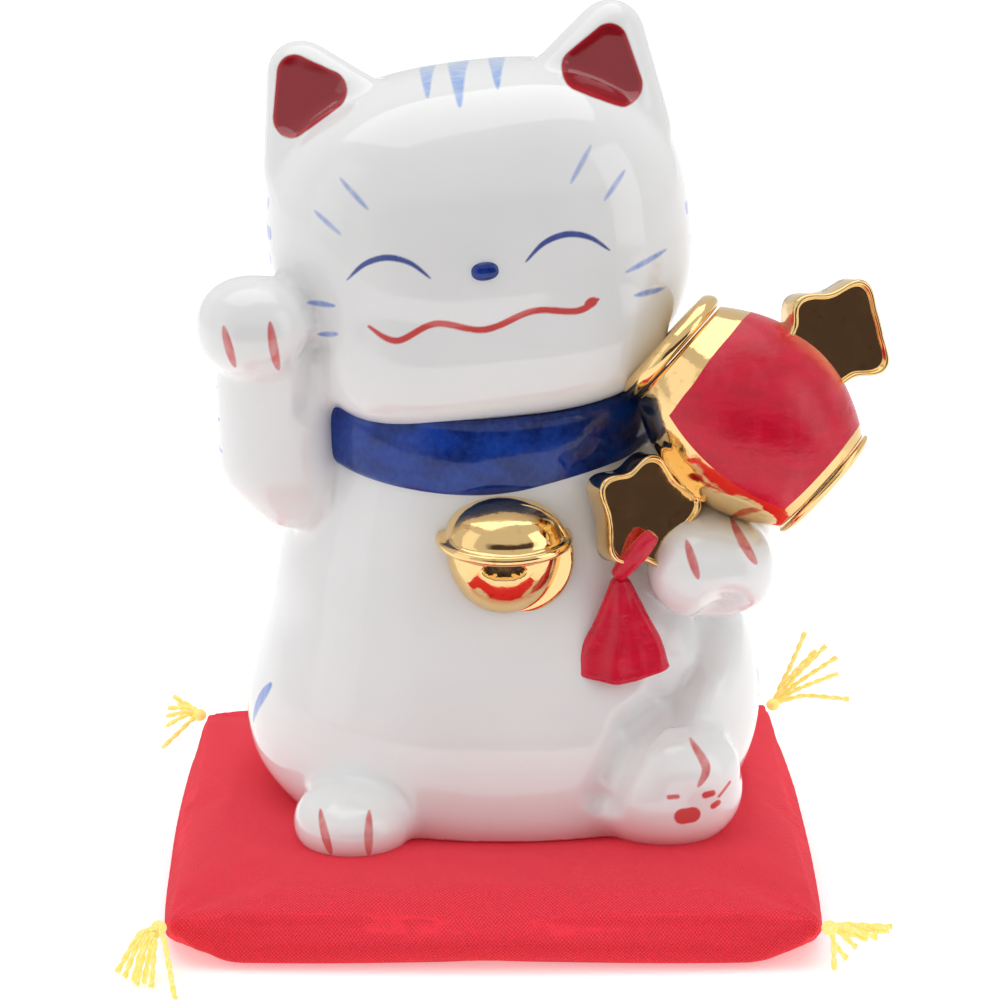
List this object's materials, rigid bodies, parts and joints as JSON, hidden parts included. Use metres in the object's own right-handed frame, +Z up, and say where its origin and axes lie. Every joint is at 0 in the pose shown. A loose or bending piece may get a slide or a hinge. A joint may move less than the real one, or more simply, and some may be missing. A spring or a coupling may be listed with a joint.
{
  "type": "beckoning cat figurine",
  "caption": "Porcelain beckoning cat with one paw raised and the other round a lucky mallet, with a collar, a bell and a tassel, seated on a square red cushion with yarn tassels.",
  "frame": {"origin": "on the cushion's underside, under the middle of the cat's trunk", "axes": "+Z is up and the cat looks along -Y"},
  "size_m": [0.1114, 0.1086, 0.1253],
  "materials": {
    "porcelain": "high gloss clear glaze over white clay",
    "cobalt": "mottled blue under gloss glaze",
    "gilding": "fired gold lustre over glaze",
    "red_enamel": "semi-gloss red overglaze enamel",
    "cushion_cloth": "plain-weave red cotton",
    "wadding": "loose fibre fill",
    "yellow_yarn": "soft twisted yarn"
  },
  "bodies": {
    "cushion": {"cushion_cover_top": "cushion_cloth", "cushion_cover_bottom": "cushion_cloth", "cushion_wadding": "wadding", "corner_tassel_front_left": "yellow_yarn", "corner_tassel_front_right": "yellow_yarn", "corner_tassel_back_left": "yellow_yarn", "corner_tassel_back_right": "yellow_yarn"},
    "figurine": {"body_casting": "porcelain", "raised_arm": "porcelain", "holding_arm": "porcelain", "nose": "cobalt", "collar_band": "cobalt", "bell": "gilding", "mallet_barrel": "red_enamel", "mallet_rim_inner": "gilding", "mallet_rim_outer": "gilding", "mallet_handle_upper": "gilding", "mallet_handle_lower": "gilding", "tassel_cord": "red_enamel", "mallet_tassel": "red_enamel"}
  },
  "joints": [
    {"name": "figurine_lift", "type": "slide", "parent": "cushion", "child": "figurine", "axis": [0, 0, 1], "range_m": [0, 0.06]}
  ]
}
